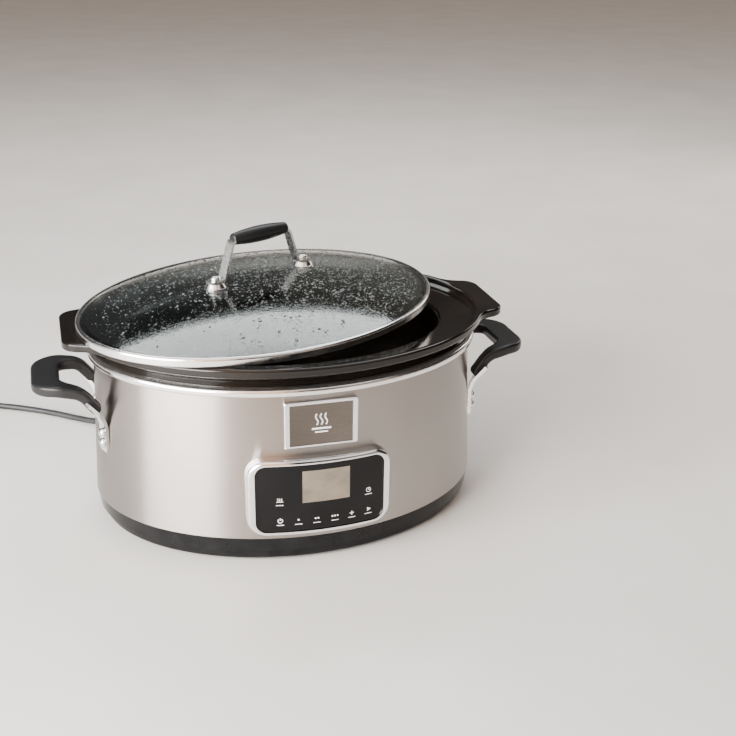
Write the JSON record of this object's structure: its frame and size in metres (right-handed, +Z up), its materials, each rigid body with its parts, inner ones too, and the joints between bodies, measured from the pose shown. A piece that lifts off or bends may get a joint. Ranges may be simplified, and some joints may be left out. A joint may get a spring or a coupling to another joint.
{
  "type": "slow cooker",
  "caption": "Oval countertop slow cooker: brushed steel housing with touch panel and side handles, lift-out black crock and domed glass lid set askew on its rim.",
  "frame": {"origin": "on the table, 1.2 mm under the middle of the label pad on the base tray's underside, at the level of the rubber feet's soles", "axes": "+Z up, +X the cooker's right along its long axis, the control panel faces -Y"},
  "size_m": [0.6181, 0.4305, 0.2593],
  "materials": {
    "brushed_steel": "stainless steel brushed round its girth, with a soft sheen",
    "polished_steel": "polished stainless steel, bright",
    "gloss_black": "black moulded base, glossy upper skirt",
    "foot_rubber": "soft matt rubber",
    "liner_metal": "plain aluminised sheet",
    "heater_wrap": "woven glass-fibre heater wrap",
    "insulation": "white glass-fibre blanket",
    "fastener_steel": "polished screw heads",
    "circuit_board": "green solder mask",
    "relay_case": "blue relay case",
    "transformer_core": "varnished laminations",
    "bezel_chrome": "mirror-bright plated frame",
    "window_black": "gloss-black touch window with pale key marks",
    "display_glass": "dark display module",
    "badge_metal": "dark satin plate in a bright frame",
    "handle_chrome": "polished steel strap",
    "handle_black": "satin black moulded grip",
    "crock_glaze": "black glossy glaze with a warm brown reflection",
    "lid_glass": "clear tempered glass, misted inside with droplets",
    "cord_black": "black rubbery sheath with a slight sheen",
    "pin_brass": "nickel-plated brass pins"
  },
  "bodies": {
    "housing": {"badge_plate": "badge_metal", "base_screws": "fastener_steel", "base_tray": "gloss_black", "control_bezel": "bezel_chrome", "control_board": "circuit_board", "control_window": "window_black", "cord_coil": "cord_black", "cord_gland": "cord_black", "cord_tail": "cord_black", "display": "display_glass", "handle_bolts": "fastener_steel", "handle_nuts": "fastener_steel", "heater_band": "heater_wrap", "heating_pot": "liner_metal", "housing_lip": "polished_steel", "insulation_wrap": "insulation", "left_handle_brackets": "handle_chrome", "left_handle_grip": "handle_black", "outer_housing": "brushed_steel", "plug_body": "cord_black", "plug_pins": "pin_brass", "pot_posts": "liner_metal", "power_board": "circuit_board", "power_cord": "cord_black", "power_relay": "relay_case", "right_handle_brackets": "handle_chrome", "right_handle_grip": "handle_black", "rubber_feet": "foot_rubber", "temperature_sensor": "liner_metal", "thermal_fuse": "liner_metal", "transformer": "transformer_core"},
    "crock_body": {"crock": "crock_glaze"},
    "lid_body": {"lid_glass": "lid_glass", "lid_handle_grip": "handle_black", "lid_handle_nuts": "fastener_steel", "lid_handle_screws": "fastener_steel", "lid_handle_seats": "handle_chrome", "lid_handle_strap": "handle_chrome", "lid_rim": "polished_steel"}
  },
  "joints": [
    {"name": "crock_lift", "type": "slide", "parent": "housing", "child": "crock_body", "axis": [0, 0, 1], "range_m": [0, 0.16]},
    {"name": "lid_lift", "type": "slide", "parent": "crock_body", "child": "lid_body", "axis": [0, 0, 1], "range_m": [0, 0.12]}
  ]
}
